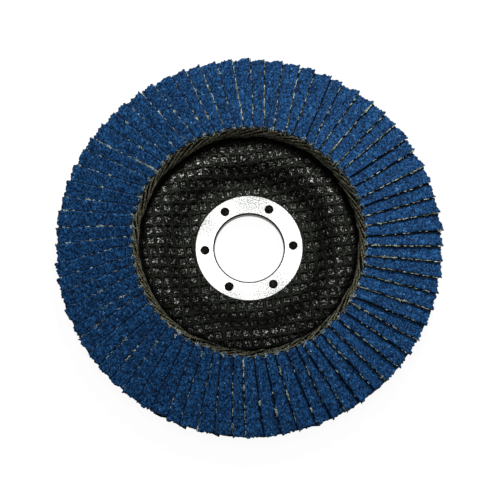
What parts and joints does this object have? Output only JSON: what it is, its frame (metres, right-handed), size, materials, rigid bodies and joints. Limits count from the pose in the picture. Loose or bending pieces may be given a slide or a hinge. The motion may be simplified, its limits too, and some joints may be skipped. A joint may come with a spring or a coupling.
{
  "type": "flap disc",
  "caption": "Conical flap disc: a dished backing plate with a metal hub ring carries a fan of overlapping abrasive-cloth flaps round its rim.",
  "frame": {"origin": "on the spindle's axis, in the flat back face of the hub that the grinder's flange clamps", "axes": "+Z along the spindle's axis, out of the working side; X and Y in the plane of the disc, with the first ring hole 3.2 degrees from +X"},
  "size_m": [0.125, 0.125, 0.0144],
  "materials": {
    "resin_glass_mesh": "black phenolic resin over woven glass mesh, pressed, half gloss",
    "plated_steel": "zinc-plated stamped sheet, fine satin",
    "epoxy": "cured epoxy, dark brown, gloss",
    "abrasive_cloth": "blue zirconia grain bonded on cotton-polyester cloth, coarse and matt"
  },
  "bodies": {
    "root": {"hub_ring": "plated_steel", "backing_plate": "resin_glass_mesh", "adhesive_bead": "epoxy", "flap_pair_01": "abrasive_cloth", "flap_pair_02": "abrasive_cloth", "flap_pair_03": "abrasive_cloth", "flap_pair_04": "abrasive_cloth", "flap_pair_05": "abrasive_cloth", "flap_pair_06": "abrasive_cloth", "flap_pair_07": "abrasive_cloth", "flap_pair_08": "abrasive_cloth", "flap_pair_09": "abrasive_cloth", "flap_pair_10": "abrasive_cloth", "flap_pair_11": "abrasive_cloth", "flap_pair_12": "abrasive_cloth", "flap_pair_13": "abrasive_cloth", "flap_pair_14": "abrasive_cloth", "flap_pair_15": "abrasive_cloth", "flap_pair_16": "abrasive_cloth", "flap_pair_17": "abrasive_cloth", "flap_pair_18": "abrasive_cloth", "flap_pair_19": "abrasive_cloth", "flap_pair_20": "abrasive_cloth", "flap_pair_21": "abrasive_cloth", "flap_pair_22": "abrasive_cloth", "flap_pair_23": "abrasive_cloth", "flap_pair_24": "abrasive_cloth", "flap_pair_25": "abrasive_cloth", "flap_pair_26": "abrasive_cloth", "flap_pair_27": "abrasive_cloth", "flap_pair_28": "abrasive_cloth", "flap_pair_29": "abrasive_cloth", "flap_pair_30": "abrasive_cloth", "flap_pair_31": "abrasive_cloth", "flap_pair_32": "abrasive_cloth", "flap_pair_33": "abrasive_cloth", "flap_pair_34": "abrasive_cloth", "flap_pair_35": "abrasive_cloth", "flap_pair_36": "abrasive_cloth"}
  },
  "joints": []
}
